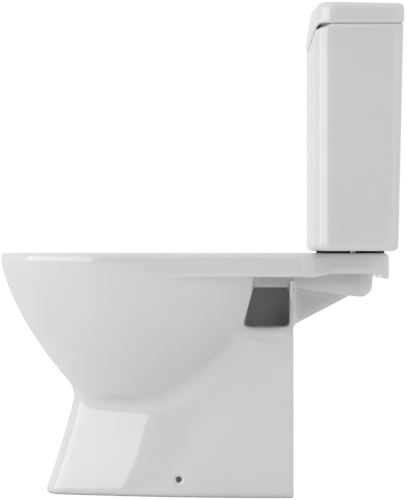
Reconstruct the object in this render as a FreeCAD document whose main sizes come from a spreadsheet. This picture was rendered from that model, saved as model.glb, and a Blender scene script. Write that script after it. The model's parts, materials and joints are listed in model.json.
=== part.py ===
"""Close coupled toilet: pan, cistern, lid and every fitting inside them.

Millimetres. +Z is up, the bowl's nose points to -Y, the wall is on the +Y side, and the origin
is on the floor under the middle of the whole object.
"""
import FreeCAD, Part
import math
import os
import re

import Sketcher

Vector = FreeCAD.Vector
AXIS_X = Vector(1, 0, 0)
AXIS_Y = Vector(0, 1, 0)
AXIS_Z = Vector(0, 0, 1)

doc = FreeCAD.newDocument("CloseCoupledToilet")

# ---------------------------------------------------------------------------------------------
# Driving dimensions
# ---------------------------------------------------------------------------------------------
SIZES = {
    # overall
    "half_length": 326, "rim_height": 395, "china_wall": 12,
    # bowl: ellipses about one upright axis, half lengths along Y and half widths along X
    "bowl_axis_y": -86, "rim_half_length": 240, "rim_half_width": 180, "rim_depth": 39,
    "rear_reach": 120,
    "bowl_bottom": 160, "keel_half_length": 108, "keel_half_width": 88,
    "opening_axis_y": -108, "opening_half_length": 170, "opening_half_width": 128,
    "rim_way_low": 368, "rim_way_high": 384, "rim_way_wall": 13, "rim_way_lip": 8, "jet_radius": 2.5,
    # deck behind the bowl and the shelf that carries the cistern
    "neck_start": 163, "neck_turn": 75, "shelf_half_width": 140, "shelf_end": 306, "shelf_corner": 20,
    "shelf_low": 361, "shelf_step_start": 185, "shelf_step_end": 209, "drip_low": 353, "drip_width": 10,
    "deck_open_front": 92, "deck_open_end": 160, "notch_edge": 112, "notch_half": 28, "notch_round": 8,
    # flush channel under the deck
    "channel_half_width": 66, "channel_front": 72, "channel_end": 284, "channel_bottom": 323,
    "channel_keel": 338, "channel_floor": 350, "channel_round": 20, "channel_tail": 262,
    "shelf_bolt_half_space": 75, "inlet_hole": 46, "inlet_recess": 58, "inlet_recess_depth": 5.5,
    "channel_mouth_width": 50,
    # pedestal
    "foot_half_width": 112, "foot_back": 153, "nose_round": 45, "foot_top": 262,
    "toe_front": -254, "waist_front": -205, "waist_z": 172, "foot_edge": 6, "fixing_hole": 5.25,
    "fixing_y": -32, "fixing_z": 29, "gusset_top": 336, "web_half": 8, "web_low": 276, "web_end": 246,
    "web_top": 345, "post_half": 40, "post_back": 161, "post_round": 6,
    # access pockets beside the web
    "pocket_front_top": 87, "pocket_front_bottom": 72, "pocket_back": 147, "pocket_bottom": 276,
    # trap and outlet
    "trap_bore": 36, "trap_wall": 10, "sump_y": -60, "sump_z": 96, "crown_y": 50, "crown_z": 226,
    "outlet_z": 185, "outlet_y": 100, "spigot_start": 112, "spigot_end": 148, "spigot_radius": 51,
    "spigot_bore": 43,
    # seat hinge holes
    "seat_half_space": 77.5, "seat_hole_y": 118, "seat_hole": 7.5,
    # cistern
    "tank_half_width": 185, "tank_front": 180, "tank_back_top": 325, "tank_back_bottom": 317,
    "tank_bottom": 398, "tank_top": 759, "tank_wall": 10, "tank_floor": 12, "tank_corner": 30,
    "cavity_corner": 12, "tank_edge": 8, "bow_radius": 2817, "rim_round": 2, "wall_screw_half_space": 90,
    "wall_screw_z": 715, "wall_screw_hole": 4,
    # lid
    "lid_half_width": 187, "lid_front_low": 176.5, "lid_front_high": 186, "lid_top_front": 793.5,
    "lid_top_back": 791, "lid_wall": 12, "lid_dip": 730, "dip_radius": 598, "dip_gap": 2,
    "lid_lip_depth": 12, "lid_lip_gap": 3, "button_seat_z": 791,
    "button_seat_radius": 28.5, "lid_edge": 7,
    # the upright axis shared by the push button, the flush valve and the pan's inlet
    "valve_y": 250,
    # push button
    "bezel_radius": 27.5, "bezel_height": 3, "barrel_radius": 18.7, "barrel_bore": 17, "barrel_end": 764,
    "guide_floor": 4, "button_radius": 16.6, "button_top": 795.5, "button_low": 783, "button_split": 1,
    "button_gap": 0.3, "button_nut_radius": 27, "button_nut_height": 10, "lid_hole": 20,
    "full_rod_x": -7, "half_rod_x": 9, "rod_radius": 2.4, "rod_bore": 2.8, "spring_wire": 0.6,
    "spring_radius": 4.2, "spring_turns": 5, "bar_low": 724, "bar_high": 728, "bar_reach": 52,
    "leg_x": 49, "bar_half": 4,
    # flush valve
    "tail_radius": 30, "tail_bore": 25, "tail_end": 372, "tank_hole": 31, "flange_radius": 42,
    "gasket_height": 2, "flange_height": 6, "seat_height": 6, "seal_height": 4, "seal_radius": 32,
    "retainer_height": 3, "tube_radius": 14, "tube_bore": 11.5, "collar_radius": 19, "collar_low": 703.5,
    "collar_high": 707, "post_radius": 3, "post_circle": 38, "head_low": 640, "head_high": 644,
    "head_radius": 44, "head_bore": 15.5, "valve_float_low": 520, "valve_float_high": 560,
    "valve_float_radius": 27, "back_nut_height": 12, "back_nut_radius": 39,
    "lever_pivot_x": 35, "full_pivot_z": 700, "half_pivot_z": 664, "lever_half_height": 3,
    "lever_half_width": 4, "lever_inner_x": 16, "lever_outer_x": 52, "pin_radius": 2, "lug_gap": 0.6,
    "lug_wall": 3.5, "lug_half_length": 5, "sleeve_low": 668, "sleeve_high": 680, "sleeve_bore": 14.6,
    "leg_clearance": 0.5,
    # close-coupling kit
    "doughnut_bore": 39.5, "doughnut_radius": 56, "bolt_radius": 4, "bolt_end": 366, "bolt_hole": 6,
    "bolt_seal_height": 4, "bolt_seal_radius": 11, "washer_height": 1.5, "washer_radius": 9.5,
    "bolt_head": 6, "bolt_head_radius": 7.5, "wing_hub": 7, "wing_height": 9, "wing_span": 16,
    # fill valve
    "fill_x": -140, "inlet_radius": 10.4, "shank_radius": 10.6, "inlet_bore": 6.5, "inlet_end": 360,
    "inlet_hole_radius": 11,
    "fill_washer_height": 3, "fill_flange": 17, "fill_flange_height": 4, "riser_radius": 9,
    "fill_head_low": 688, "fill_head_high": 704, "fill_head_radius": 18, "cap_height": 10,
    "cap_radius": 19, "fill_nut_height": 10, "fill_nut_radius": 18, "float_low": 610, "float_high": 660,
    "float_radius": 28, "float_bore": 10, "arm_pivot_x": 23, "arm_pivot_z": 717, "arm_half_height": 2,
    "arm_left": 4, "arm_right": 64, "arm_half_width": 4.5, "arm_pin_radius": 1.5, "link_x": 58,
    "link_radius": 2, "link_stop": 4, "filter_radius": 6.2, "filter_length": 22, "diaphragm_radius": 14,
    "diaphragm_height": 2,
}

sheet = doc.addObject("Spreadsheet::Sheet", "Sizes")
for row, (alias, number) in enumerate(SIZES.items(), start=1):
    sheet.set(f"A{row}", alias)
    sheet.set(f"B{row}", str(number))
    sheet.setAlias(f"B{row}", alias)
doc.recompute()


def size(alias):
    """One plain number from the sheet, for shapes that are worked out in code."""
    return float(sheet.get(alias))


# ---------------------------------------------------------------------------------------------
# Helpers: every number that they bind is an expression of the sheet's aliases
# ---------------------------------------------------------------------------------------------
def in_sheet(expression):
    """Write each alias of an expression with its sheet's name."""
    def named(word):
        return "Sizes." + word.group() if word.group() in SIZES else word.group()

    return re.sub(r"[a-z_]+", named, str(expression))


def bind(item, **expressions):
    for target, expression in expressions.items():
        item.setExpression(target.replace("__", "."), in_sheet(expression))
    return item


def place(item, x="0", y="0", z="0"):
    return bind(item, Placement__Base__x=x, Placement__Base__y=y, Placement__Base__z=z)


def box(name, x, y, z):
    """A box between the pairs of expressions x, y and z."""
    item = doc.addObject("Part::Box", name)
    bind(item, Length=f"({x[1]}) - ({x[0]})", Width=f"({y[1]}) - ({y[0]})", Height=f"({z[1]}) - ({z[0]})")
    return place(item, x[0], y[0], z[0])


def upright(name, radius, z, x="0", y="valve_y"):
    """An upright cylinder between the pair of expressions z."""
    item = doc.addObject("Part::Cylinder", name)
    bind(item, Radius=radius, Height=f"({z[1]}) - ({z[0]})")
    return place(item, x, y, z[0])


def lying(name, radius, axis, start, length, x="0", y="0", z="0"):
    """A cylinder along X or Y, which starts at start on its own axis."""
    item = doc.addObject("Part::Cylinder", name)
    bind(item, Radius=radius, Height=length)
    item.Placement.Rotation = FreeCAD.Rotation(AXIS_Z, axis)
    if axis == AXIS_X:
        return place(item, start, y, z)
    return place(item, x, start, z)


def fuse(name, *shapes):
    item = doc.addObject("Part::MultiFuse", name)
    item.Shapes = list(shapes)
    return item


def cut(name, base, *tools):
    item = doc.addObject("Part::Cut", name)
    item.Base = base
    item.Tool = tools[0] if len(tools) == 1 else fuse(name + "_tools", *tools)
    return item


def common(name, *shapes):
    item = doc.addObject("Part::MultiCommon", name)
    item.Shapes = list(shapes)
    return item


def ring(name, radius, bore, z, x="0", y="valve_y"):
    """An upright tube between the pair of expressions z."""
    outer = upright(name + "_outer", radius, z, x, y)
    inner = upright(name + "_bore", bore, (f"({z[0]}) - 1", f"({z[1]}) + 1"), x, y)
    return cut(name, outer, inner)


def hexagon(name, radius, z, x="0", y="valve_y"):
    item = doc.addObject("Part::Prism", name)
    item.Polygon = 6
    bind(item, Circumradius=radius, Height=f"({z[1]}) - ({z[0]})")
    return place(item, x, y, z[0])


def polygon(body, role, corners):
    """A closed outline in one of the body's own planes; corners are pairs of expressions."""
    sketch = body.newObject("Sketcher::SketchObject", body.Name + "_outline")
    sketch.AttachmentSupport = [(next(f for f in body.Origin.OriginFeatures if f.Role == role), "")]
    sketch.MapMode = "FlatFace"
    count = len(corners)
    turn = 2 * math.pi / count
    start = [Vector(50 * math.cos(turn * i), 50 * math.sin(turn * i), 0) for i in range(count)]
    for i in range(count):
        sketch.addGeometry(Part.LineSegment(start[i], start[(i + 1) % count]), False)
    for i in range(count):
        sketch.addConstraint(Sketcher.Constraint("Coincident", i, 2, (i + 1) % count, 1))
    for i, corner in enumerate(corners):
        for kind, now, wanted in zip(("DistanceX", "DistanceY"), start[i], corner):
            index = sketch.addConstraint(Sketcher.Constraint(kind, -1, 1, i, 1, now))
            sketch.setExpression(f"Constraints[{index}]", in_sheet(wanted))
    return sketch


def across(name, corners, half_width, low=None):
    """A body padded along X from a (Y, Z) outline, to both sides or from low to half_width."""
    body = doc.addObject("PartDesign::Body", name)
    pad = body.newObject("PartDesign::Pad", name + "_pad")
    pad.Profile = polygon(body, "YZ_Plane", corners)
    if low is None:
        pad.Midplane = True
        bind(pad, Length=f"2 * ({half_width})")
    else:
        bind(pad, Length=f"({half_width}) - ({low})")
        bind(body, Placement__Base__x=low)
    return body


def turned(name, corners, x="0", y="valve_y"):
    """A body revolved about an upright axis from a (radius, Z) outline."""
    body = doc.addObject("PartDesign::Body", name)
    turn = body.newObject("PartDesign::Revolution", name + "_turn")
    turn.Profile = polygon(body, "XZ_Plane", corners)
    turn.ReferenceAxis = (turn.Profile[0], ["V_Axis"])
    turn.Angle = 360
    return place(body, x, y)


def rounded(name, base, radius, chosen):
    """Fillet the base's edges that the test picks."""
    doc.recompute()
    item = doc.addObject("Part::Fillet", name)
    item.Base = base
    amount = size(radius)
    item.Edges = [(i, amount, amount) for i, edge in enumerate(base.Shape.Edges, 1) if chosen(edge)]
    if not item.Edges:
        raise ValueError(f"{name}: no edge was picked")
    return item


def mirrored(name, source):
    """The source's image on the other side of the middle plane."""
    item = doc.addObject("Part::Mirroring", name)
    item.Source = source
    item.Normal = AXIS_X
    return item


def pair(name, maker):
    """The same piece to the right and to the left of the middle plane, as two solids."""
    right = maker(name + "_right")
    item = doc.addObject("Part::Compound", name)
    item.Links = [right, mirrored(name + "_left", right)]
    return item


def shaped(name, shape):
    item = doc.addObject("Part::Feature", name)
    item.Shape = shape
    return item


# Edge tests -----------------------------------------------------------------------------------
def is_upright(edge, slack=0.2):
    tangent = edge.tangentAt(edge.FirstParameter)
    return edge.BoundBox.ZLength > 1 and abs(tangent.z) > 1 - slack


def lies_at(edge, z, slack=0.01):
    return abs(edge.BoundBox.ZMin - z) < slack and abs(edge.BoundBox.ZMax - z) < slack


# ---------------------------------------------------------------------------------------------
# China: free-form walls are lofts of ellipses, of eggs and of arc outlines, which no sketch can bind
# ---------------------------------------------------------------------------------------------
def ellipse(axis_y, half_length, half_width, z):
    curve = Part.Ellipse(Vector(0, axis_y, z), half_length, half_width)
    edge = curve.toShape()
    edge.rotate(Vector(0, axis_y, z), AXIS_Z, 90)
    return Part.Wire([edge])


def egg(axis_y, front, rear, half_width, z):
    """Half an ellipse in front of the axis and a longer half behind it, tangent to each other."""
    edges = []
    for half_length, start in ((rear, -math.pi / 2), (front, math.pi / 2)):
        curve = Part.Ellipse(Vector(0, axis_y, z), half_length, half_width)
        edge = Part.ArcOfEllipse(curve, start, start + math.pi).toShape()
        edge.rotate(Vector(0, axis_y, z), AXIS_Z, 90)
        edges.append(edge)
    return Part.Wire(edges)


def foot_outline(front, z, inset=0.0):
    """Round nose, two long tangent arcs and a straight back, all moved inwards by the inset."""
    nose = size("nose_round") - inset
    half = size("foot_half_width") - inset
    back = size("foot_back")
    nose_y = front + size("nose_round")
    run = back - nose_y
    arc = (run ** 2 + half ** 2 - nose ** 2) / (2 * (half - nose))
    centre = Vector(half - arc, back, z)
    nose_centre = Vector(0, nose_y, z)
    outward = (nose_centre - centre).normalize()
    touch = nose_centre + outward * nose
    lean = math.atan2(touch.y - back, touch.x - centre.x)
    middle = centre + Vector(math.cos(lean / 2), math.sin(lean / 2), 0) * arc
    corner = Vector(half, back, z)

    def flip(point):
        return Vector(-point.x, point.y, point.z)

    tip = Vector(0, nose_y - nose, z)
    return Part.Wire([
        Part.Arc(corner, middle, touch).toShape(),
        Part.Arc(touch, tip, flip(touch)).toShape(),
        Part.Arc(flip(touch), flip(middle), flip(corner)).toShape(),
        Part.LineSegment(flip(corner), corner).toShape(),
    ])


# Height, axis, half length and half width of the well, from the sump's neck to the rim's underside.
WELL_SECTIONS = [(100, -70, 36.5, 36), (150, -115, 46, 44), (200, -121, 93, 80), (250, -119, 135, 118),
                 (300, -116, 167, 147), (357, -112, 190, 162)]
BOWL_LEVELS = 12
FOOT_LEVELS = 8
JETS = 16

# How steeply each outline of a loft follows its height.
BOWL_LENGTH_POWER = 1.6
BOWL_WIDTH_POWER = 2.25
REAR_REACH_POWER = 2.5
NOSE_POWER = 1.3


def bowl_outside():
    """Eggs that widen from a flat bottom and come up to the rim upright, cut off at the back."""
    low, high = size("bowl_bottom"), size("rim_height")
    narrow = (size("keel_half_length"), size("keel_half_width"))
    wide = (size("rim_half_length"), size("rim_half_width"))
    wires = []
    for step in range(BOWL_LEVELS + 1):
        share = step / BOWL_LEVELS
        half_length = wide[0] - (wide[0] - narrow[0]) * (1 - share) ** BOWL_LENGTH_POWER
        half_width = wide[1] - (wide[1] - narrow[1]) * (1 - share) ** BOWL_WIDTH_POWER
        rear = half_length + size("rear_reach") * share ** REAR_REACH_POWER
        wires.append(egg(size("bowl_axis_y"), half_length, rear, half_width, low + (high - low) * share))
    reach = 2 * wide[0]
    behind = Part.makeBox(reach, reach, reach, Vector(-reach / 2, size("foot_back"), 0))
    return shaped("bowl_outside", Part.makeLoft(wires, True, False).cut(behind))


def well():
    sections = [ellipse(axis, long, wide, z) for z, axis, long, wide in WELL_SECTIONS]
    lofted = Part.makeLoft(sections, True, False)
    rim_hole = Part.Face(ellipse(size("opening_axis_y"), size("opening_half_length"),
                                 size("opening_half_width"), WELL_SECTIONS[-1][0] - 1))
    return shaped("well", lofted.fuse(rim_hole.extrude(Vector(0, 0, 60))))


def rim_way():
    """The hollow that leads the flush round inside the rim, with its jets through the underside."""
    low, high = size("rim_way_low"), size("rim_way_high")
    wall, lip = size("rim_way_wall"), size("rim_way_lip")
    rise = Vector(0, 0, high - low)
    outer = ellipse(size("bowl_axis_y"), size("rim_half_length") - wall, size("rim_half_width") - wall, low)
    inner = ellipse(size("opening_axis_y"), size("opening_half_length") + lip, size("opening_half_width") + lip,
                    low)
    ring_way = Part.Face(outer).extrude(rise).cut(Part.Face(inner).extrude(rise))
    reach = 2 * size("rim_half_length")
    behind = Part.makeBox(reach, reach, reach, Vector(-reach / 2, size("channel_front") + wall, 0))
    ways = [ring_way.cut(behind)]
    along, across_bowl = size("opening_half_length") + 2 * lip - 2, size("opening_half_width") + 2 * lip
    for step in range(JETS):
        angle = 2 * math.pi * (step + 0.5) / JETS
        foot = Vector(across_bowl * math.cos(angle), size("opening_axis_y") + along * math.sin(angle),
                      WELL_SECTIONS[-1][0] - 3)
        ways.append(Part.makeCylinder(size("jet_radius"), low - foot.z + 1, foot))
    return shaped("rim_way", ways[0].fuse(ways[1:]))


def foot_front(z):
    """The nose leans back from the toe to the waist under the bowl, ever more steeply."""
    toe, waist = size("toe_front"), size("waist_front")
    return waist + (toe - waist) * (1 - z / size("waist_z")) ** NOSE_POWER


def pedestal():
    waist_z, wall = size("waist_z"), size("china_wall")
    levels = [waist_z * step / FOOT_LEVELS for step in range(FOOT_LEVELS + 1)]
    outside = Part.makeLoft([foot_outline(foot_front(z), z) for z in levels], True, False)
    sole = [edge for edge in outside.Edges
            if lies_at(edge, 0) and edge.BoundBox.YMin < size("foot_back") - 1]
    outside = outside.makeFillet(size("foot_edge"), sole)
    upper = Part.Face(foot_outline(foot_front(waist_z), waist_z)).extrude(
        Vector(0, 0, size("foot_top") - waist_z))
    inside = Part.makeLoft([foot_outline(foot_front(z), z, wall) for z in levels], True, False)
    inside_top = Part.Face(foot_outline(foot_front(waist_z), waist_z, wall)).extrude(
        Vector(0, 0, size("foot_top") - wall - waist_z))
    back = Part.makeBox(2 * (size("foot_half_width") - wall), 60, size("foot_top") - wall + 5)
    back.translate(Vector(wall - size("foot_half_width"), size("foot_back") - 30, -5))
    below = Part.Face(foot_outline(foot_front(0), 0, wall)).extrude(Vector(0, 0, -5))
    hollow = inside.fuse([inside_top, back, below])
    return shaped("pedestal", outside.fuse(upper).cut(hollow))


def deck_outline(z):
    """Straight sides, an S-curve on each side that narrows them to the shelf, and round rear corners."""
    wide, narrow, start = size("rim_half_width"), size("shelf_half_width"), size("neck_start")
    end, corner = size("shelf_end"), size("shelf_corner")
    turn = math.radians(size("neck_turn"))
    radius = (wide - narrow) / 2 / (1 - math.cos(turn))
    neck_end = start + 2 * radius * math.sin(turn)

    def arc_point(centre_x, centre_y, reach, angle):
        return Vector(centre_x + reach * math.cos(angle), centre_y + reach * math.sin(angle), z)

    arcs = [[arc_point(wide - radius, start, radius, turn * share) for share in (0, 0.5, 1)],
            [arc_point(narrow + radius, neck_end, -radius, turn * share) for share in (1, 0.5, 0)],
            [arc_point(narrow - corner, end - corner, corner, math.pi / 2 * share) for share in (0, 0.5, 1)]]
    last = Vector(wide, size("bowl_axis_y"), z)
    right = []
    for arc in arcs:
        if (arc[0] - last).Length > 1:
            right.append(Part.LineSegment(last, arc[0]).toShape())
        right.append(Part.Arc(*arc).toShape())
        last = arc[-1]
    left = [edge.mirror(Vector(0, 0, 0), AXIS_X) for edge in right]
    mirror_last = Vector(-last.x, last.y, z)
    back = Part.LineSegment(last, mirror_last).toShape()
    start_left, start_right = (Vector(side * wide, size("bowl_axis_y"), z) for side in (-1, 1))
    front = Part.LineSegment(start_left, start_right).toShape()
    return Part.Wire(Part.__sortEdges__(right + [back] + left + [front]))


def deck():
    """The rim's flat band, carried back from the bowl and narrowed to the cistern's shelf."""
    depth = size("rim_depth")
    return shaped("deck", Part.Face(deck_outline(size("rim_height") - depth)).extrude(Vector(0, 0, depth)))


def shelf_underside():
    """What is cut from under the shelf, which is thinner than the deck up to its drip edge."""
    low = "rim_height - rim_depth - 1"
    return across("shelf_underside", [("shelf_step_start", low), ("shelf_step_end", "shelf_low"),
                                      ("shelf_end - drip_width", "shelf_low"), ("shelf_end - drip_width", low)],
                  "shelf_half_width + 30")


def drip_edge():
    return box("drip_edge", ("shelf_corner - shelf_half_width", "shelf_half_width - shelf_corner"),
               ("shelf_end - drip_width", "shelf_end"), ("drip_low", "shelf_low"))


def channel():
    """The box under the deck that leads the flush from the inlet to the bowl; its tail hangs lower."""
    slab = box("channel_block", ("-channel_half_width", "channel_half_width"),
               ("channel_front", "channel_end"), ("channel_bottom", "rim_height - 5"))
    slab = rounded("channel_ends", slab, "channel_round",
                   lambda edge: is_upright(edge) and edge.BoundBox.YMin > 200)
    slab = rounded("channel_tail", slab, "channel_round", lambda edge: lies_at(edge, size("channel_bottom"))
                   and edge.BoundBox.YMax > 200)
    below = across("channel_underside", [
        ("channel_front - 10", "channel_bottom - 10"), ("channel_front - 10", "channel_keel"),
        ("foot_back", "channel_keel"), ("channel_tail", "channel_bottom"),
        ("channel_tail", "channel_bottom - 10")], "channel_half_width + 10")
    return cut("channel", slab, below)


def channel_inside():
    tube = box("channel_tube", ("china_wall - channel_half_width", "channel_half_width - china_wall"),
               ("channel_front + 5", "channel_end - china_wall"), ("channel_floor", "rim_height - china_wall"))
    mouth = box("channel_mouth", ("-channel_mouth_width / 2", "channel_mouth_width / 2"),
                ("channel_front - 20", "channel_front + 8"), ("channel_floor", "rim_way_low"))
    inlet = upright("inlet_bore", "inlet_hole", ("channel_floor + 10", "rim_height + 5"))
    recess = upright("inlet_seat", "inlet_recess", ("rim_height - inlet_recess_depth", "rim_height + 5"))
    return [tube, mouth, inlet, recess]


def gusset():
    """The pedestal's back wall, carried up to the channel, with the post and the web behind it."""
    wall = doc.addObject("PartDesign::Body", "gusset_wall")
    pad = wall.newObject("PartDesign::Pad", "gusset_pad")
    pad.Profile = polygon(wall, "XZ_Plane", [
        ("-foot_half_width", "foot_top - 10"), ("foot_half_width", "foot_top - 10"),
        ("foot_half_width", "foot_top"), ("channel_half_width", "gusset_top"),
        ("channel_half_width", "gusset_top + 10"), ("-channel_half_width", "gusset_top + 10"),
        ("-channel_half_width", "gusset_top"), ("-foot_half_width", "foot_top")])
    bind(pad, Length="foot_back - 50")
    place(wall, y="foot_back")
    web = across("web", [("foot_back - 2", "web_low"), ("foot_back + 3", "web_low"),
                         ("web_end", "channel_bottom"), ("web_end", "web_top"),
                         ("foot_back - 2", "web_top")], "web_half")
    post = across("post", [("pocket_back", "web_low - 5"), ("foot_back", "web_low - 5"),
                           ("post_back", "web_low + 4"), ("post_back", "web_top"),
                           ("pocket_back", "web_top")], "post_half")
    post = rounded("post_edges", post, "post_round",
                   lambda edge: is_upright(edge) and edge.BoundBox.YMin > size("foot_back") + 2)
    return [wall, web, post]


def pocket(name):
    """The deep recess on the right, under the channel and beside the web."""
    top = "rim_height - rim_depth"
    deep = across(name, [("pocket_front_top", top), ("pocket_back", top),
                         ("pocket_back", "pocket_bottom"), ("pocket_front_bottom", "pocket_bottom"),
                         ("pocket_front_top", "gusset_top")], "rim_half_width + 20", "web_half")
    above = box(name + "_channel", ("0", "channel_half_width"), ("0", "channel_end"),
                ("channel_keel", "rim_height"))
    return cut(name + "_cut", deep, above)


def deck_hollow(name):
    """The open underside of the deck and shelf, where the seat's and the cistern's nuts are reached."""
    top = "rim_height - china_wall"
    low = "rim_height - rim_depth - 5"
    broad = box(name + "_broad", ("channel_half_width", "rim_half_width - china_wall"),
                ("deck_open_front", "deck_open_end"), (low, top))
    shelf = box(name + "_shelf", ("channel_half_width", "shelf_half_width - china_wall"),
                ("deck_open_end - 5", "shelf_end - shelf_corner"), (low, top))
    return fuse(name, broad, shelf)


def inlet_notch():
    """A gap in the shelf's left edge, which the fill valve's tail and nut pass through."""
    notch = box("inlet_notch", ("-shelf_half_width - 30", "-notch_edge"),
                ("valve_y - notch_half", "valve_y + notch_half"), ("drip_low", "rim_height + 5"))
    return rounded("inlet_notch_corners", notch, "notch_round",
                   lambda edge: is_upright(edge) and edge.BoundBox.XMin > -size("notch_edge") - 1)


def trap(name, radius):
    """The trap's way from the sump over the crown to the outlet, at the given radius."""
    sump = Vector(0, size("sump_y"), size("sump_z"))
    crown = Vector(0, size("crown_y"), size("crown_z"))
    outlet = Vector(0, size("outlet_y"), size("outlet_z"))
    way = Part.makeSphere(radius + 3, sump)
    for start, end, ball in ((sump, crown, 2), (crown, outlet, 4)):
        bar = Part.makeCylinder(radius, (end - start).Length, start, end - start)
        way = way.fuse(bar).fuse(Part.makeSphere(radius + ball, end))
    return shaped(name, way)


def pan():
    """The pan: everything solid first, then the ways for water, then the holes."""
    wall = size("trap_wall")
    bore = size("trap_bore")
    neck_sections = [ellipse(axis, long + wall, wide + wall, z) for z, axis, long, wide in WELL_SECTIONS[:3]]
    neck = shaped("well_neck", Part.makeLoft(neck_sections, True, False))
    spigot = lying("spigot", "spigot_radius", AXIS_Y, "spigot_start", "spigot_end - spigot_start",
                   z="outlet_z")
    waterway = fuse("waterway", trap("trap_outside", bore + wall), spigot)
    foot = fuse("foot", pedestal(), *gusset())
    thinned = cut("thinned_deck", deck(), shelf_underside())
    bowl = fuse("bowl_with_deck", fuse("bowl", bowl_outside(), neck), thinned, channel(), drip_edge())
    solid = fuse("pan_solid", fuse("foot_with_trap", foot, waterway), bowl)
    outlet = lying("outlet_bore", "spigot_bore", AXIS_Y, "outlet_y", "spigot_end - outlet_y + 10",
                   z="outlet_z")
    fixing = lying("fixing_bore", "fixing_hole", AXIS_X, "-foot_half_width - 20",
                   "2 * foot_half_width + 40", y="fixing_y", z="fixing_z")
    right_pocket = pocket("pocket")
    right_hollow = deck_hollow("deck_hollow")
    drilled = []
    for side in ("-", ""):
        drilled.append(upright("seat_bore", "seat_hole", ("rim_height - 30", "rim_height + 5"),
                               side + "seat_half_space", "seat_hole_y"))
        drilled.append(upright("shelf_bolt_bore", "bolt_hole", ("rim_height - 30", "rim_height + 5"),
                               side + "shelf_bolt_half_space"))
    return cut("pan", solid, well(), rim_way(), trap("trap_inside", bore), outlet, fixing, right_pocket,
               mirrored("pocket_left", right_pocket), right_hollow,
               mirrored("deck_hollow_left", right_hollow), inlet_notch(), *channel_inside(), *drilled)


def bow(name, front):
    """The very large cylinder whose skin is the slightly bowed front."""
    return upright(name, "bow_radius", ("tank_bottom - 50", "tank_top + 50"), y=f"{front} + bow_radius")


def dip(name, lift):
    """The long cylinder whose underside is the dipped front joint between cistern and lid."""
    return lying(name, "dip_radius", AXIS_Y, "tank_front - 60", "400",
                 z=f"lid_dip + {lift} + dip_radius - 2")


def cistern():
    block = across("tank_block", [("tank_front", "tank_bottom"), ("tank_back_bottom", "tank_bottom"),
                                  ("tank_back_top", "tank_top"), ("tank_front", "tank_top")], "tank_half_width")
    outside = common("tank_outside", block, bow("tank_bow", "tank_front"))
    outside = rounded("tank_corners", outside, "tank_corner",
                      lambda edge: is_upright(edge) and edge.BoundBox.YMax < 260)
    outside = rounded("tank_foot_edge", outside, "tank_edge",
                      lambda edge: lies_at(edge, size("tank_bottom"))
                      or (is_upright(edge) and edge.BoundBox.YMin > 300))
    inside = across("tank_cavity", [
        ("tank_front + tank_wall + 1", "tank_bottom + tank_floor"),
        ("tank_back_bottom - tank_wall", "tank_bottom + tank_floor"),
        ("tank_back_top - tank_wall", "tank_top + 1"),
        ("tank_front + tank_wall + 1", "tank_top + 1")], "tank_half_width - tank_wall")
    inside = common("tank_cavity_bowed", inside, bow("cavity_bow", "tank_front + tank_wall"))
    inside = rounded("cavity_corners", inside, "cavity_corner", lambda edge: is_upright(edge)
                     or lies_at(edge, size("tank_bottom") + size("tank_floor")))
    drop = common("front_drop", dip("tank_dip", "0"),
                  box("front_zone", ("-tank_half_width", "tank_half_width"),
                      ("tank_front - 10", "tank_front + 28"), ("lid_dip - 10", "tank_top + 10")))
    holes = [upright("valve_hole", "tank_hole", ("tank_bottom - 5", "tank_bottom + tank_floor + 5")),
             upright("inlet_hole_bore", "inlet_hole_radius",
                     ("tank_bottom - 5", "tank_bottom + tank_floor + 5"), "fill_x")]
    for side in ("-", ""):
        holes.append(upright("tank_bolt_hole", "bolt_hole",
                             ("tank_bottom - 5", "tank_bottom + tank_floor + 5"),
                             side + "shelf_bolt_half_space"))
        holes.append(lying("wall_screw_bore", "wall_screw_hole", AXIS_Y, "tank_back_top - 30", "60",
                           x=side + "wall_screw_half_space", z="wall_screw_z"))
    return cut("cistern", outside, inside, drop, *holes)


def leaning_block():
    """A long block with a bowed front and round front corners, leaning back as the lid's front does."""
    run = size("lid_front_high") - size("lid_front_low")
    rise = size("lid_top_front") - size("lid_dip")
    half, front, low = size("lid_half_width"), size("lid_front_low"), size("lid_dip") - 40
    block = Part.makeBox(2 * half, 300, 160, Vector(-half, front - 1, low))
    radius = size("bow_radius")
    block = block.common(Part.makeCylinder(radius, 160, Vector(0, front + radius, low)))
    corners = [edge for edge in block.Edges if is_upright(edge) and edge.BoundBox.YMax < front + 50]
    block = block.makeFillet(size("tank_corner"), corners)
    block.rotate(Vector(0, front, size("lid_dip")), AXIS_X, -math.degrees(math.atan2(run, rise)))
    return shaped("lid_leaning_block", block)


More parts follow.
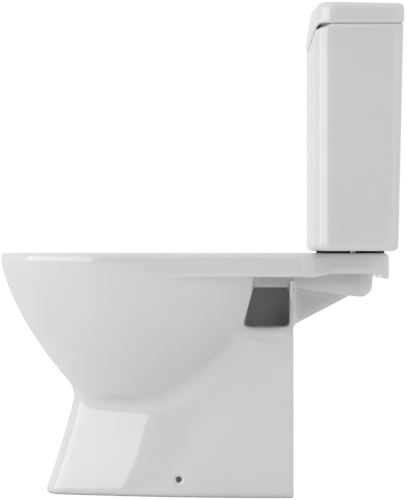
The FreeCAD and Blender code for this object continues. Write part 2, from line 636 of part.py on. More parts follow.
def cistern_lid():
    block = across("lid_block", [("lid_front_low", "lid_dip - 5"), ("lid_front_high", "lid_top_front"),
                                 ("half_length", "lid_top_back"), ("half_length", "tank_top"),
                                 ("tank_front + tank_wall", "tank_top"),
                                 ("tank_front + tank_wall", "lid_dip - 5")], "lid_half_width")
    below = fuse("lid_below", dip("lid_dip_round", "dip_gap"),
                 box("lid_above", ("-lid_half_width", "lid_half_width"), ("0", "half_length"),
                     ("tank_top", "lid_top_front")))
    outside = common("lid_outside", block, leaning_block(), below)
    outside = rounded("lid_edges", outside, "lid_edge", lambda edge: edge.BoundBox.ZMin > 787
                      or (is_upright(edge) and edge.BoundBox.YMin > 320))
    inner = ("lid_wall - lid_half_width + 10", "lid_half_width - lid_wall - 10")
    depth = ("tank_front + tank_wall + 12", "tank_back_top - tank_wall - 12")
    hollow = box("lid_hollow", inner, depth, ("tank_top - 20", "lid_top_back - lid_wall + 2"))
    lip_x = ("tank_wall + lid_lip_gap - tank_half_width", "tank_half_width - tank_wall - lid_lip_gap")
    lip_y = ("tank_front + tank_wall + lid_lip_gap + 5", "tank_back_top - tank_wall - lid_lip_gap - 1")
    lip = box("lid_lip", lip_x, lip_y, ("tank_top - lid_lip_depth", "tank_top + 2"))
    lip = rounded("lid_lip_corners", lip, "channel_round", is_upright)
    hole = upright("button_hole", "lid_hole", ("tank_top", "lid_top_front + 5"))
    seat = upright("button_seat", "button_seat_radius", ("button_seat_z", "lid_top_front + 5"))
    return cut("cistern_lid", fuse("lid_with_lip", outside, lip), hollow, hole, seat)


# ---------------------------------------------------------------------------------------------
# Close-coupling kit
# ---------------------------------------------------------------------------------------------
def doughnut_seal():
    low = "rim_height - inlet_recess_depth"
    return ring("doughnut_seal", "doughnut_radius", "doughnut_bore", (low, "tank_bottom"))


FLOOR = "tank_bottom + tank_floor"


def coupling_bolts():
    def bolt(name):
        head_low = f"{FLOOR} + bolt_seal_height + washer_height"
        shank = upright(name + "_shank", "bolt_radius", ("bolt_end", f"{head_low} + 1"),
                        "shelf_bolt_half_space")
        head = hexagon(name + "_head", "bolt_head_radius", (head_low, f"{head_low} + bolt_head"),
                       "shelf_bolt_half_space")
        return fuse(name, shank, head)
    return pair("coupling_bolts", bolt)


def coupling_bolt_seals():
    return pair("coupling_bolt_seals", lambda name: ring(
        name, "bolt_seal_radius", "bolt_radius", (FLOOR, f"{FLOOR} + bolt_seal_height"),
        "shelf_bolt_half_space"))


def coupling_washers():
    def washers(name):
        above = f"{FLOOR} + bolt_seal_height"
        under = "rim_height - china_wall"
        return [ring(name + "_top", "washer_radius", "bolt_radius", (above, f"{above} + washer_height"),
                     "shelf_bolt_half_space"),
                ring(name + "_under", "washer_radius - 0.7", "bolt_radius",
                     (f"{under} - washer_height", under), "shelf_bolt_half_space")]
    right = washers("coupling_washer")
    item = doc.addObject("Part::Compound", "coupling_washers")
    item.Links = right + [mirrored(washer.Name + "_left", washer) for washer in right]
    return item


def wing_nuts():
    def wing_nut(name):
        top = "rim_height - china_wall - washer_height"
        hub = upright(name + "_hub", "wing_hub", (f"{top} - wing_height", top), "shelf_bolt_half_space")
        wings = box(name + "_wings", ("shelf_bolt_half_space - 1.2", "shelf_bolt_half_space + 1.2"),
                    ("valve_y - wing_span", "valve_y + wing_span"),
                    (f"{top} - wing_height - 5", f"{top} - 2"))
        bore = upright(name + "_bore", "bolt_radius", ("bolt_end - 5", f"{top} + 1"), "shelf_bolt_half_space")
        return cut(name, fuse(name + "_body", hub, wings), bore)
    return pair("wing_nuts", wing_nut)


# ---------------------------------------------------------------------------------------------
# Flush valve
# ---------------------------------------------------------------------------------------------
FLANGE_LOW = f"{FLOOR} + gasket_height"
FLANGE_TOP = f"{FLANGE_LOW} + flange_height"
SEAT_TOP = f"{FLANGE_TOP} + seat_height"
SEAL_TOP = f"{SEAT_TOP} + seal_height"


def flush_valve_base():
    return turned("flush_valve_base", [
        ("tail_bore", "tail_end"), ("tail_radius", "tail_end"), ("tail_radius", FLANGE_LOW),
        ("flange_radius", FLANGE_LOW), ("flange_radius", FLANGE_TOP), ("tail_radius", FLANGE_TOP),
        ("tail_radius", f"{SEAT_TOP} - 2"), ("tail_bore + 2", SEAT_TOP), ("tail_bore", f"{SEAT_TOP} - 1")])


def flush_valve_gasket():
    return ring("flush_valve_gasket", "flange_radius", "tail_radius", (FLOOR, FLANGE_LOW))


def flush_valve_back_nut():
    height = ("tank_bottom - back_nut_height", "tank_bottom")
    nut = hexagon("back_nut_blank", "back_nut_radius", height)
    bore = upright("back_nut_bore", "tail_radius", ("tank_bottom - back_nut_height - 1", "tank_bottom + 1"))
    return cut("flush_valve_back_nut", nut, bore)


def lugs(name, x, top):
    """Two ears on the valve's head that hold one lever's pin."""
    ears = []
    near = "(lever_half_width + lug_gap)"
    far = "(lever_half_width + lug_gap + lug_wall)"
    for y in ((f"valve_y - {far}", f"valve_y - {near}"), (f"valve_y + {near}", f"valve_y + {far}")):
        ears.append(box(name, (f"{x} - lug_half_length", f"{x} + lug_half_length"), y,
                        ("head_high - 1", f"{top} + 4")))
    return ears


def valve_tower():
    foot = ring("tower_foot", "flange_radius", "seal_radius + 2", (FLANGE_TOP, f"{FLANGE_TOP} + 6"))
    head = ring("tower_head", "head_radius", "head_bore", ("head_low", "head_high"))
    posts = []
    for quarter in range(4):
        angle = 45 + 90 * quarter
        posts.append(upright("tower_post", "post_radius", (f"{FLANGE_TOP} + 1", "head_high - 1"),
                             f"post_circle * cos({angle})", f"valve_y + post_circle * sin({angle})"))
    body = fuse("tower_body", foot, head, *posts, *lugs("full_lug", "-lever_pivot_x", "full_pivot_z"),
                *lugs("half_lug", "lever_pivot_x", "half_pivot_z"))
    reach = "2 * (lever_half_width + lug_gap + lug_wall) + 4"
    start = "valve_y - lever_half_width - lug_gap - lug_wall - 2"
    bores = [lying("full_pin_bore", "pin_radius", AXIS_Y, start, reach, "-lever_pivot_x", z="full_pivot_z"),
             lying("half_pin_bore", "pin_radius", AXIS_Y, start, reach, "lever_pivot_x", z="half_pivot_z")]
    return cut("valve_tower", body, *bores)


def lever_pins():
    length = "2 * (lever_half_width + lug_gap + lug_wall)"
    start = "valve_y - lever_half_width - lug_gap - lug_wall"
    item = doc.addObject("Part::Compound", "lever_pins")
    item.Links = [lying("full_pin", "pin_radius", AXIS_Y, start, length, "-lever_pivot_x", z="full_pivot_z"),
                  lying("half_pin", "pin_radius", AXIS_Y, start, length, "lever_pivot_x", z="half_pivot_z")]
    return item


def lever(name, side, pivot_z):
    """A bar across its pin, from the push rod's leg to the valve's tube."""
    inner, outer, pivot = (f"{side} * {along}" for along in ("lever_inner_x", "lever_outer_x", "lever_pivot_x"))
    bar = box(name + "_bar", (inner, outer) if side > 0 else (outer, inner),
              ("valve_y - lever_half_width", "valve_y + lever_half_width"),
              (f"{pivot_z} - lever_half_height", f"{pivot_z} + lever_half_height"))
    boss = lying(name + "_boss", "lever_half_height + 1.5", AXIS_Y, "valve_y - lever_half_width",
                 "2 * lever_half_width", pivot, z=pivot_z)
    bore = lying(name + "_bore", "pin_radius + 0.1", AXIS_Y, "valve_y - lever_half_width - 1",
                 "2 * lever_half_width + 2", pivot, z=pivot_z)
    return cut(name, fuse(name + "_body", bar, boss), bore)


def overflow_tube():
    return turned("overflow_tube", [
        ("tube_bore", SEAL_TOP), ("seal_radius - 3", SEAL_TOP), ("seal_radius - 3", f"{SEAL_TOP} + 2"),
        ("tube_radius + 4", f"{SEAL_TOP} + retainer_height"), ("tube_radius", f"{SEAL_TOP} + 10"),
        ("tube_radius", "collar_low"), ("collar_radius", "collar_low"), ("collar_radius", "collar_high"),
        ("tube_bore", "collar_high")])


def valve_seal():
    return ring("valve_seal", "seal_radius", "tube_bore", (SEAT_TOP, SEAL_TOP))


def volume_float():
    return turned("volume_float", [
        ("tube_radius", "valve_float_low"), ("valve_float_radius - 3", "valve_float_low"),
        ("valve_float_radius", "valve_float_low + 3"), ("valve_float_radius", "valve_float_high"),
        ("valve_float_radius - 2", "valve_float_high"), ("valve_float_radius - 2", "valve_float_low + 5"),
        ("tube_radius + 3", "valve_float_low + 5"), ("tube_radius + 3", "valve_float_high"),
        ("tube_radius", "valve_float_high")])


def half_flush_sleeve():
    return ring("half_flush_sleeve", "collar_radius", "sleeve_bore", ("sleeve_low", "sleeve_high"))


# ---------------------------------------------------------------------------------------------
# Push button
# ---------------------------------------------------------------------------------------------
def button_bezel():
    body = turned("bezel_body", [
        ("barrel_bore", "barrel_end"), ("barrel_radius", "barrel_end"), ("barrel_radius", "button_seat_z"),
        ("bezel_radius", "button_seat_z"), ("bezel_radius", "button_seat_z + 1"),
        ("bezel_radius - 3", "button_seat_z + bezel_height"), ("barrel_bore", "button_seat_z + bezel_height")])
    guide = upright("guide_plate", "barrel_bore + 0.5", ("barrel_end", "barrel_end + guide_floor"))
    bores = [upright("rod_guide", "rod_bore", ("barrel_end - 1", "barrel_end + guide_floor + 1"), x)
             for x in ("full_rod_x", "half_rod_x")]
    return cut("button_bezel", fuse("bezel_with_guide", body, guide), *bores)


def button_nut():
    top = "lid_top_back - lid_wall + 2"
    height = (f"{top} - button_nut_height", top)
    teeth = []
    for step in range(8):
        angle = 45 * step
        teeth.append(upright("nut_grip", "2.5", height, f"(button_nut_radius - 1) * cos({angle})",
                             f"valve_y + (button_nut_radius - 1) * sin({angle})"))
    blank = fuse("button_nut_blank", upright("button_nut_disc", "button_nut_radius - 2", height), *teeth)
    bore = upright("button_nut_bore", "barrel_radius", (f"{top} - button_nut_height - 1", f"{top} + 1"))
    return cut("button_nut", blank, bore)


def push_button(name, side):
    disc = upright(name + "_disc", "button_radius", ("button_low", "button_top"))
    disc = rounded(name + "_edge", disc, "rim_round",
                   lambda edge: lies_at(edge, size("button_top")) and edge.BoundBox.XLength > 5)
    wide = ("valve_y - 30", "valve_y + 30")
    high = ("button_low - 1", "button_top + 1")
    if side < 0:
        keep = box(name + "_half", ("-30", "button_split - button_gap"), wide, high)
    else:
        keep = box(name + "_half", ("button_split + button_gap", "30"), wide, high)
    return common(name, disc, keep)


def button_spring(name, x):
    """A compression spring round the push rod, from the guide plate to the button's underside."""
    gap = 0.1
    low = size("barrel_end") + size("guide_floor") + size("spring_wire") + gap
    high = size("button_low") - size("spring_wire") - gap
    helix = Part.makeHelix((high - low) / size("spring_turns"), high - low, size("spring_radius"))
    start = helix.Edges[0].valueAt(helix.Edges[0].FirstParameter)
    section = Part.Wire([Part.makeCircle(size("spring_wire"), start, AXIS_Y)])
    coil = Part.Wire(helix.Edges).makePipeShell([section], True, True)
    item = shaped(name, coil)
    return place(item, x, "valve_y", f"{low}")


def push_rod(name, x, side, lever_top):
    sign = "-" if side < 0 else ""
    edges = [f"{x} - rod_radius" if side > 0 else f"{x} + rod_radius", f"{sign}bar_reach"]
    if side < 0:
        edges.reverse()
    rod = upright(name + "_rod", "rod_radius", ("bar_low", "button_low"), x)
    bar = box(name + "_bar", tuple(edges), ("valve_y - bar_half", "valve_y + bar_half"),
              ("bar_low", "bar_high"))
    tip_z = f"{lever_top} + leg_clearance + rod_radius"
    leg = upright(name + "_leg", "rod_radius", (tip_z, "bar_high - 1"), f"{sign}leg_x")
    tip = doc.addObject("Part::Sphere", name + "_tip")
    bind(tip, Radius="rod_radius")
    place(tip, f"{sign}leg_x", "valve_y", tip_z)
    return fuse(name, rod, bar, leg, tip)


# ---------------------------------------------------------------------------------------------
# Fill valve
# ---------------------------------------------------------------------------------------------
FILL_LOW = f"{FLOOR} + fill_washer_height"


def fill_valve_body():
    stem = turned("fill_stem", [
        ("inlet_bore", "inlet_end"), ("inlet_radius", "inlet_end"),
        ("inlet_radius", "tank_bottom - fill_nut_height - 2"),
        ("shank_radius", "tank_bottom - fill_nut_height - 2"), ("shank_radius", FILL_LOW),
        ("fill_flange", FILL_LOW), ("fill_flange", f"{FILL_LOW} + fill_flange_height"),
        ("riser_radius", f"{FILL_LOW} + fill_flange_height"), ("riser_radius", "fill_head_low"),
        ("fill_head_radius", "fill_head_low + 4"), ("fill_head_radius", "fill_head_high"),
        ("diaphragm_radius", "fill_head_high"), ("diaphragm_radius", "fill_head_high - diaphragm_height"),
        ("inlet_bore", "fill_head_high - diaphragm_height")], "fill_x")
    ears = []
    for low, high in (("-arm_half_width - 4", "-arm_half_width - 0.6"),
                      ("arm_half_width + 0.6", "arm_half_width + 4")):
        ears.append(box("arm_ear", ("fill_x + fill_head_radius - 3", "fill_x + arm_pivot_x + 4"),
                        (f"valve_y + {low}", f"valve_y + {high}"), ("fill_head_low + 6", "arm_pivot_z + 4")))
    bore = lying("arm_pin_bore", "arm_pin_radius", AXIS_Y, "valve_y - 20", "40", "fill_x + arm_pivot_x",
                 z="arm_pivot_z")
    cap_room = upright("cap_room", "cap_radius + 0.4", ("fill_head_high", "fill_head_high + 20"), "fill_x")
    return cut("fill_valve_body", fuse("fill_body", stem, *ears), bore, cap_room)


def fill_valve_cap():
    top = "fill_head_high + cap_height"
    return turned("fill_valve_cap", [
        ("2", "fill_head_high"), ("cap_radius", "fill_head_high"), ("cap_radius", f"{top} - 4"),
        ("cap_radius - 6", f"{top} - 2"), ("3", f"{top} - 2"), ("2", f"{top} - 3")], "fill_x")


def fill_valve_back_nut():
    height = ("tank_bottom - fill_nut_height", "tank_bottom")
    nut = hexagon("fill_nut_blank", "fill_nut_radius", height, "fill_x")
    bore = upright("fill_nut_bore", "shank_radius", ("tank_bottom - fill_nut_height - 1", "tank_bottom + 1"),
                   "fill_x")
    return cut("fill_valve_back_nut", nut, bore)


def float_cup():
    cup = turned("float_cup_body", [
        ("float_bore", "float_low"), ("float_bore + 2", "float_low"), ("float_bore + 2", "float_high - 3"),
        ("float_radius - 2", "float_high - 3"), ("float_radius - 2", "float_low"),
        ("float_radius", "float_low"), ("float_radius", "float_high - 1"), ("float_radius - 1", "float_high"),
        ("float_bore", "float_high")], "fill_x")
    bracket = box("float_bracket", ("fill_x + float_radius - 1", "fill_x + link_x + 4"),
                  ("valve_y - 4", "valve_y + 4"), ("float_high - 8", "float_high - 4"))
    bore = upright("bracket_bore", "link_radius", ("float_high - 10", "float_high"), "fill_x + link_x")
    return cut("float_cup", fuse("float_cup_blank", cup, bracket), bore)


def float_arm():
    low = "arm_pivot_z - arm_half_height"
    high = "arm_pivot_z + arm_half_height"
    bar = box("arm_bar", ("fill_x + arm_left", "fill_x + arm_right"),
              ("valve_y - arm_half_width", "valve_y + arm_half_width"), (low, high))
    boss = lying("arm_boss", "arm_half_height + 1", AXIS_Y, "valve_y - arm_half_width", "2 * arm_half_width",
                 "fill_x + arm_pivot_x", z="arm_pivot_z")
    bore = lying("arm_bore", "arm_pin_radius + 0.08", AXIS_Y, "valve_y - 10", "20", "fill_x + arm_pivot_x",
                 z="arm_pivot_z")
    slot = box("arm_slot", ("fill_x + link_x - 5", "fill_x + arm_right + 1"),
               ("valve_y - 2.6", "valve_y + 2.6"), (f"{low} - 1", f"{high} + 1"))
    return cut("float_arm", fuse("arm_body", bar, boss), bore, slot)


def float_link():
    head = "arm_pivot_z + arm_half_height + 2.5"
    foot = "arm_pivot_z - arm_half_height - 2.5"
    rod = upright("link_rod", "link_radius", ("float_high - 8", f"{head} + 2"), "fill_x + link_x")
    stops = [upright("link_head", "link_stop", (head, f"{head} + 2"), "fill_x + link_x"),
             upright("link_foot", "link_stop", (f"{foot} - 2", foot), "fill_x + link_x")]
    return fuse("float_link", rod, *stops)


# ---------------------------------------------------------------------------------------------
# The assembly
# ---------------------------------------------------------------------------------------------
FULL, HALF = -1, 1
parts = [
    pan(),
    cistern(),
    cistern_lid(),
    doughnut_seal(),
    coupling_bolts(),
    coupling_bolt_seals(),
    coupling_washers(),
    wing_nuts(),
    flush_valve_base(),
    flush_valve_gasket(),
    flush_valve_back_nut(),
    valve_tower(),
    lever_pins(),
    lever("full_flush_lever", FULL, "full_pivot_z"),
    lever("half_flush_lever", HALF, "half_pivot_z"),
    overflow_tube(),
    valve_seal(),
    volume_float(),
    half_flush_sleeve(),
    button_bezel(),
    button_nut(),
    push_button("full_flush_button", FULL),
    push_button("half_flush_button", HALF),
    button_spring("full_button_spring", "full_rod_x"),
    button_spring("half_button_spring", "half_rod_x"),
    push_rod("full_push_rod", "full_rod_x", FULL, "full_pivot_z + lever_half_height"),
    push_rod("half_push_rod", "half_rod_x", HALF, "half_pivot_z + lever_half_height"),
    fill_valve_body(),
    ring("fill_valve_washer", "fill_flange", "shank_radius", (FLOOR, FILL_LOW), "fill_x"),
    fill_valve_back_nut(),
    fill_valve_cap(),
    upright("inlet_diaphragm", "diaphragm_radius", ("fill_head_high - diaphragm_height", "fill_head_high"),
            "fill_x"),
    ring("inlet_filter", "filter_radius", "filter_radius - 1.2", ("inlet_end", "inlet_end + filter_length"),
         "fill_x"),
    float_cup(),
    float_arm(),
    lying("float_arm_pin", "arm_pin_radius", AXIS_Y, "valve_y - arm_half_width - 4", "2 * arm_half_width + 8",
          "fill_x + arm_pivot_x", z="arm_pivot_z"),
    float_link(),
]

doc.recompute()
for item in doc.Objects:
    if {"Invalid", "Error"} & set(item.State):
        raise RuntimeError(f"{item.Name} failed: {item.State}")
for part in parts:
    if part.Shape.isNull() or not part.Shape.isValid():
        raise RuntimeError(f"{part.Name} has no valid shape")

os.makedirs("parts", exist_ok=True)
for part in parts:
    part.Label = part.Name
    part.Shape.exportStep(f"parts/{part.Label}.step")
    solids = len(part.Shape.Solids)
    print(f"{part.Label}: {solids} solid(s), {part.Shape.Volume / 1000:.1f} cm3")
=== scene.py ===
"""Close coupled toilet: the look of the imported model, its studio and its camera. Metres, +Z up."""

import json
import math

import bpy
import numpy as np
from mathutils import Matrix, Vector


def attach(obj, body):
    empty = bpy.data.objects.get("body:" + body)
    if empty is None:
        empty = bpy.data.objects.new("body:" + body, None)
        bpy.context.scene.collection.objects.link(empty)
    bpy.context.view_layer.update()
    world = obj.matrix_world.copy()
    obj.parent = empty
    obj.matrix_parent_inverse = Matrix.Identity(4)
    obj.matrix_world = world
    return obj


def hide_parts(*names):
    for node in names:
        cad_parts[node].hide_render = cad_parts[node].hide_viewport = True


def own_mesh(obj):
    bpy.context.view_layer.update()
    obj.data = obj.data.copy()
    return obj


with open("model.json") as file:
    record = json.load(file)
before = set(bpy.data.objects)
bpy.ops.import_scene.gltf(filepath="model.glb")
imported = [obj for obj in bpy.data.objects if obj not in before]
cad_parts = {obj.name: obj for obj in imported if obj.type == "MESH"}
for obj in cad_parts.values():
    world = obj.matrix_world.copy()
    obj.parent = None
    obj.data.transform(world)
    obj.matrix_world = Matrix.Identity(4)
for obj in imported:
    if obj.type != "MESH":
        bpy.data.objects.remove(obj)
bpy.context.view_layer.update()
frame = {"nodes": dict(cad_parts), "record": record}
scene = bpy.context.scene
nodes = frame["nodes"]


# ---------------------------------------------------------------------------------------------
# Materials
# ---------------------------------------------------------------------------------------------
def grey(value):
    return (value, value, value, 1.0)


def shade(colour, factor):
    return tuple(channel * factor for channel in colour) + (1.0,)


class Recipe:
    """A material under construction: a Principled shader and the nodes that feed it."""

    def __init__(self, name, colour, roughness, **settings):
        self.material = bpy.data.materials.new(name)
        self.material.use_nodes = True
        self.tree = self.material.node_tree
        self.shader = self.tree.nodes["Principled BSDF"]
        self.shader.inputs["Base Color"].default_value = colour
        self.shader.inputs["Roughness"].default_value = roughness
        for socket, value in settings.items():
            self.shader.inputs[socket.replace("_", " ")].default_value = value
        self.place = self.add("ShaderNodeTexCoord").outputs["Object"]

    def add(self, kind, **values):
        node = self.tree.nodes.new(kind)
        for key, value in values.items():
            if key in node.inputs:
                node.inputs[key].default_value = value
            else:
                setattr(node, key, value)
        return node

    def link(self, source, target):
        self.tree.links.new(source, target)

    def stretched(self, stretch):
        mapping = self.add("ShaderNodeMapping", Scale=stretch)
        self.link(self.place, mapping.inputs["Vector"])
        return mapping.outputs["Vector"]

    def noise(self, scale, detail=3.0, rough=0.5, stretch=(1, 1, 1)):
        """A noise field over the object's own place, in features per metre."""
        node = self.add("ShaderNodeTexNoise", Scale=scale, Detail=detail, Roughness=rough)
        self.link(self.stretched(stretch), node.inputs["Vector"])
        return node.outputs["Fac"]

    def cells(self, scale):
        """Round cells, as in foam, in cells per metre."""
        node = self.add("ShaderNodeTexVoronoi", Scale=scale)
        self.link(self.place, node.inputs["Vector"])
        return node.outputs["Distance"]

    def spread(self, field, low, high):
        """The field, mapped from 0.3-0.7 to low-high."""
        node = self.add("ShaderNodeMapRange")
        for socket, value in zip(("From Min", "From Max", "To Min", "To Max"), (0.3, 0.7, low, high)):
            node.inputs[socket].default_value = value
        self.link(field, node.inputs["Value"])
        return node.outputs["Result"]

    def tint(self, field, dark, light):
        """Base colour that wanders between two colours with the field."""
        node = self.add("ShaderNodeMix", data_type="RGBA")
        node.inputs[6].default_value = dark
        node.inputs[7].default_value = light
        self.link(self.spread(field, 0, 1), node.inputs[0])
        self.link(node.outputs[2], self.shader.inputs["Base Color"])

    def roughen(self, field, low, high):
        self.link(self.spread(field, low, high), self.shader.inputs["Roughness"])

    def bump(self, fields):
        """Bumps stacked from (field, height in metres) pairs."""
        normal = None
        for field, height in fields:
            node = self.add("ShaderNodeBump", Strength=1.0, Distance=height)
            self.link(field, node.inputs["Height"])
            if normal:
                self.link(normal, node.inputs["Normal"])
            normal = node.outputs["Normal"]
        self.link(normal, self.shader.inputs["Normal"])


def glaze():
    """Vitreous china: a white body under clear glaze, with a slow waviness and faint pin marks."""
    recipe = Recipe("white_glaze", grey(0.80), 0.06, IOR=1.54, Coat_Weight=0.35, Coat_Roughness=0.03)
    recipe.tint(recipe.noise(7, 2), grey(0.785), grey(0.815))
    recipe.roughen(recipe.noise(30, 4), 0.045, 0.085)
    recipe.bump([(recipe.noise(8, 1), 0.0009), (recipe.noise(900, 2), 0.000003)])
    return recipe.material


def biscuit_painted_shade():
    """The fired body where no glaze reaches: matt, with a sandy grain, and a darker grey than real fired
    china, as painted shade inside the pedestal and the access pockets.
    """
    # The body's grey is set darker than real fired china: painted shade.
    recipe = Recipe("unglazed_body_painted_shade", grey(0.58), 0.85, Specular_IOR_Level=0.25)
    recipe.tint(recipe.noise(22, 4), grey(0.54), grey(0.62))
    recipe.roughen(recipe.noise(200, 4), 0.75, 0.95)
    recipe.bump([(recipe.noise(40, 3), 0.0008), (recipe.noise(1500, 3), 0.00012)])
    return recipe.material


def moulded(name, colour, roughness=0.38, grain=0.00003):
    """Moulded plastic or rubber: a slight drift of colour and gloss over a fine mould grain."""
    recipe = Recipe(name, shade(colour, 1.0), roughness, IOR=1.48)
    recipe.tint(recipe.noise(45, 3), shade(colour, 0.92), shade(colour, 1.06))
    recipe.roughen(recipe.noise(160, 4), roughness - 0.05, roughness + 0.08)
    recipe.bump([(recipe.noise(60, 1), 0.0001), (recipe.noise(2600, 3), grain)])
    return recipe.material


def foam():
    """Closed-cell foam rubber with small open pores in its skin."""
    recipe = Recipe("foam_rubber", grey(0.03), 0.85, Specular_IOR_Level=0.3)
    recipe.tint(recipe.noise(120, 4), grey(0.022), grey(0.045))
    recipe.roughen(recipe.noise(300, 3), 0.78, 0.95)
    recipe.bump([(recipe.cells(700), 0.0004), (recipe.noise(2200, 3), 0.0001)])
    return recipe.material


def metal(name, colour, roughness, stretch=(1, 1, 1), grain=0.00001, drift=(0.9, 1.04)):
    """Bare or plated metal; a stretched grain reads as turned or drawn metal."""
    recipe = Recipe(name, shade(colour, 1.0), roughness, Metallic=1.0)
    recipe.tint(recipe.noise(70, 4), shade(colour, drift[0]), shade(colour, drift[1]))
    recipe.roughen(recipe.noise(400, 4, 0.6, stretch), roughness * 0.75, roughness * 1.3)
    recipe.bump([(recipe.noise(900, 3, 0.6, stretch), grain)])
    return recipe.material


TURNED = (1, 1, 9)
finishes = {
    "china": glaze(),
    "foam_rubber": foam(),
    "zinc_steel": metal("zinc_plate", (0.60, 0.61, 0.58), 0.32, grain=0.00002, drift=(0.82, 1.06)),
    "brass": metal("cast_brass", (0.66, 0.46, 0.18), 0.34, grain=0.00006, drift=(0.80, 1.05)),
    "rubber": moulded("black_rubber", (0.030, 0.030, 0.031), 0.58, 0.00004),
    "silicone": moulded("red_silicone", (0.42, 0.045, 0.030), 0.34, 0.00001),
    "white_plastic": moulded("white_plastic", (0.74, 0.74, 0.72)),
    "grey_plastic": moulded("grey_plastic", (0.27, 0.29, 0.31)),
    "blue_plastic": moulded("blue_plastic", (0.035, 0.13, 0.36)),
    "green_plastic": moulded("green_plastic", (0.035, 0.24, 0.10)),
    "black_plastic": moulded("black_plastic", (0.018, 0.018, 0.020), 0.42),
    "steel": metal("stainless_steel", (0.62, 0.63, 0.64), 0.22, TURNED),
    "chrome": metal("chrome_plate", (0.80, 0.81, 0.82), 0.06, grain=0.000001, drift=(0.97, 1.02)),
}


def finish_nodes():
    """Every CAD node takes the finish of its slot in the record."""
    for part in frame["record"]["subparts"]:
        mesh = nodes[part["node"]].data
        mesh.materials.clear()
        mesh.materials.append(finishes[part["material_slot"]])


# ---------------------------------------------------------------------------------------------
# Glazed china: the CAD walls, remeshed so that the glaze runs round every edge and into every corner
# ---------------------------------------------------------------------------------------------
def remeshed(name, source, voxel):
    """The source's walls in even quads of the voxel's size."""
    piece = bpy.data.objects.new(name, source.copy())
    scene.collection.objects.link(piece)
    remesh = piece.modifiers.new("remesh", "REMESH")
    remesh.mode = "VOXEL"
    remesh.voxel_size = voxel
    remesh.use_smooth_shade = True
    graph = bpy.context.evaluated_depsgraph_get()
    mesh = bpy.data.meshes.new_from_object(piece.evaluated_get(graph))
    piece.modifiers.clear()
    piece.data = mesh
    return piece


def rise(value, start, end):
    """A smooth step from 0 at start to 1 at end; start may be above end."""
    share = np.clip((value - start) / (end - start), 0, 1)
    return share * share * (3 - 2 * share)


def soften(mesh, passes):
    """Each pass moves every vertex towards its neighbours' middle, by its weight, so many times."""
    count = len(mesh.vertices)
    places = np.empty(count * 3)
    mesh.vertices.foreach_get("co", places)
    places = places.reshape(-1, 3)
    pairs = np.empty(len(mesh.edges) * 2, dtype=np.int64)
    mesh.edges.foreach_get("vertices", pairs)
    pairs = pairs.reshape(-1, 2)
    ends = np.concatenate((pairs[:, 0], pairs[:, 1]))
    others = np.concatenate((pairs[:, 1], pairs[:, 0]))
    degree = np.bincount(ends, minlength=count)
    for rounds, weight in passes:
        pull = 0.5 * weight(*places.T)
        for _ in range(rounds):
            for axis in range(3):
                middle = np.bincount(ends, places[others, axis], count) / degree
                places[:, axis] += pull * (middle - places[:, axis])
    mesh.vertices.foreach_set("co", places.ravel())
    mesh.update()


RIM_EDGE = (0.380, 0.388)
CREASE_HEIGHT, CREASE_CLIMB = 0.168, 0.100
CREASE_RISES, CREASE_FADES = (0.010, 0.120), (0.145, 0.120)
CREASE_REACH = (0.050, 0.012)


def everywhere(x, y, z):
    return np.ones_like(x)


def near_rim_top(x, y, z):
    return rise(z, *RIM_EDGE)


def near_waist(x, y, z):
    """The hollow where the bowl comes out of the pedestal, which climbs towards the back."""
    crease = CREASE_HEIGHT + CREASE_CLIMB * rise(y, *CREASE_RISES)
    return rise(np.abs(z - crease), *CREASE_REACH) * rise(y, *CREASE_FADES)


# The bowl's well as (height, middle along Y, half length, half width), and the clearance round it.
WELL = np.array([(0.100, -0.070, 0.037, 0.036), (0.150, -0.115, 0.046, 0.044), (0.200, -0.121, 0.093, 0.080),
                 (0.250, -0.119, 0.135, 0.118), (0.300, -0.116, 0.167, 0.147), (0.357, -0.112, 0.190, 0.162)])
WELL_CLEARANCE, WELL_LOW = 0.005, 0.1
# The ends of the trap's rising leg and the radius of its wall.
TRAP_LOW, TRAP_HIGH, TRAP_REACH = np.array((0, -0.060, 0.096)), np.array((0, 0.050, 0.226)), 0.042
# The pedestal seen from above: its back, half width and nose radius. Its front leans out towards the toe.
FOOT_BACK, FOOT_HALF, NOSE = 0.153, 0.112, 0.045
WAIST_FRONT, WAIST_HEIGHT, TOE_REACH, LEAN_POWER = -0.205, 0.172, 0.049, 1.3
FOOT_TOP, FOOT_SKIN = 0.262, 0.007
# Two opposite corners of a box round both access pockets.
POCKET_LOW, POCKET_HIGH = (-0.085, 0.078, 0.274), (0.085, 0.1485, 0.340)


def bare_and_painted_shade(x, y, z):
    """Where the pan has no glaze and shows its fired body, darker as painted shade: inside the pedestal and
    in the access pockets, not in the waterways.
    """
    front = WAIST_FRONT - TOE_REACH * (1 - np.clip(z / WAIST_HEIGHT, 0, 1)) ** LEAN_POWER
    run = FOOT_BACK - front - NOSE
    arc = (run ** 2 + FOOT_HALF ** 2 - NOSE ** 2) / (2 * (FOOT_HALF - NOSE))
    side = FOOT_HALF - arc + np.sqrt(np.clip(arc ** 2 - (FOOT_BACK - y) ** 2, 0, None))
    tip = np.sqrt(np.clip(NOSE ** 2 - (front + NOSE - y) ** 2, 0, None))
    half = np.where(y < front + NOSE, tip, side)
    in_foot = (np.abs(x) < half - FOOT_SKIN) & (y > front + FOOT_SKIN) & (z < FOOT_TOP)
    places = np.stack((x, y, z), axis=1)
    in_pocket = np.all((places > POCKET_LOW) & (places < POCKET_HIGH), axis=1)
    middle, long, wide = (np.interp(z, WELL[:, 0], WELL[:, column]) for column in (1, 2, 3))
    in_well = ((y - middle) / (long + WELL_CLEARANCE)) ** 2 + (x / (wide + WELL_CLEARANCE)) ** 2 < 1
    way = TRAP_HIGH - TRAP_LOW
    share = np.clip((places - TRAP_LOW) @ way / (way @ way), 0, 1)
    in_trap = np.linalg.norm(places - TRAP_LOW - share[:, None] * way, axis=1) < TRAP_REACH
    return (in_foot | in_pocket) & ~(in_well & (z > WELL_LOW)) & ~in_trap


VOXEL = 0.003


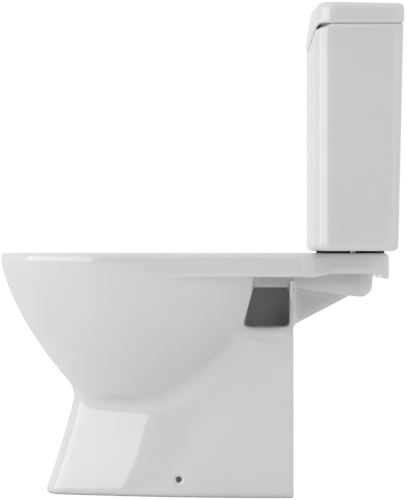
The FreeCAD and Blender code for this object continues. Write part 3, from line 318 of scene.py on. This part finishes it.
def glazed(node, body, passes, unglazed_and_painted_shade=None):
    """The node in glazed china, softened by those passes; the mask, if given, says which faces show the fired
    body without glaze, in a darker grey that is painted shade.
    """
    piece = remeshed(node + "_glazed", nodes[node].data, VOXEL)
    mesh = piece.data
    soften(mesh, passes)
    mesh.materials.clear()
    mesh.materials.append(finishes["china"])
    if unglazed_and_painted_shade:
        # The masked faces take the darker fired body: painted shade in the hollows.
        mesh.materials.append(biscuit_painted_shade())
        middles = np.empty(len(mesh.polygons) * 3)
        mesh.polygons.foreach_get("center", middles)
        mesh.polygons.foreach_set("material_index", unglazed_and_painted_shade(*middles.reshape(-1, 3).T).astype(np.int32))
    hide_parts(node)
    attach(piece, body)
    return piece


def spring(node):
    """A copy of the CAD spring with a mesh of its own, carried with the lid."""
    piece = bpy.data.objects.new(node + "_coil", nodes[node].data.copy())
    scene.collection.objects.link(piece)
    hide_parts(node)
    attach(piece, "lid")
    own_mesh(piece)
    return piece


# ---------------------------------------------------------------------------------------------
# Studio and camera
# ---------------------------------------------------------------------------------------------
def plane(name, size, place, turn=(0, 0, 0), tone=0.9, glow=0.0):
    """A flat stage piece of that width and length, lying on its back before it is turned."""
    bpy.ops.mesh.primitive_plane_add(size=1, location=place, rotation=[math.radians(angle) for angle in turn])
    thing = bpy.context.active_object
    thing.scale = (*size, 1)
    thing.name = name
    recipe = Recipe(name, grey(tone), 0.9, Specular_IOR_Level=0.0, Emission_Color=grey(1.0),
                    Emission_Strength=glow)
    thing.data.materials.append(recipe.material)
    return thing


def light(name, place, aim, width, height, power):
    """A rectangular softbox, in watts, that faces its aim and isn't seen itself."""
    data = bpy.data.lights.new(name, "AREA")
    data.shape = "RECTANGLE"
    data.size, data.size_y, data.energy = width, height, power
    lamp = bpy.data.objects.new(name, data)
    scene.collection.objects.link(lamp)
    lamp.location = place
    lamp.rotation_euler = (Vector(aim) - Vector(place)).to_track_quat("-Z", "Y").to_euler()
    lamp.visible_camera = False
    return lamp


def surround(brightness):
    """A world that shows pure white and lights the object a little less than that."""
    world = bpy.data.worlds.new("studio")
    scene.world = world
    world.use_nodes = True
    tree = world.node_tree
    background = tree.nodes["Background"]
    background.inputs["Color"].default_value = grey(1.0)
    seen = tree.nodes.new("ShaderNodeLightPath").outputs["Is Camera Ray"]
    strength = tree.nodes.new("ShaderNodeMapRange")
    strength.inputs["To Min"].default_value = brightness
    strength.inputs["To Max"].default_value = 1.0
    tree.links.new(seen, strength.inputs["Value"])
    tree.links.new(strength.outputs["Result"], background.inputs["Strength"])


def studio():
    """A white surround and floor, one softbox before the nose, and a black flag on the camera's side."""
    scene.view_settings.view_transform = "Standard"
    surround(0.80)
    floor = plane("floor", (80, 80), (0, 0, -0.0005), tone=0.30, glow=0.86)
    floor.visible_diffuse = False
    floor.visible_glossy = False
    bounce = plane("bounce", (80, 80), (0, 0, -0.001), tone=0.97)
    bounce.visible_camera = False
    flag = plane("black_flag", (12, 6), (4.4, -3.6, 0.0), (90, 0, 52), 0.0)
    flag.visible_camera = False
    light("softbox_front", (1.85, -3.50, 1.20), (0, 0, 1.20), 4.35, 2.1, 66)


def camera():
    """A long lens level with the rim, square on to the right side."""
    data = bpy.data.cameras.new("side_camera")
    data.lens = 201
    data.sensor_width = 36
    data.sensor_fit = "AUTO"
    data.clip_end = 100
    viewer = bpy.data.objects.new("side_camera", data)
    scene.collection.objects.link(viewer)
    viewer.location = (4.6, 0.008, 0.3997)
    viewer.rotation_euler = (math.radians(90), 0, math.radians(90))
    scene.camera = viewer


finish_nodes()
# Inside the pedestal and in the access pockets the pan takes the darker fired body: painted shade.
glazed("pan", "suite", [(6, everywhere), (8, near_rim_top), (60, near_waist)], unglazed_and_painted_shade=bare_and_painted_shade)
glazed("cistern", "suite", [(5, everywhere)])
glazed("cistern_lid", "lid", [(5, everywhere)])
spring("full_button_spring")
spring("half_button_spring")
studio()
camera()
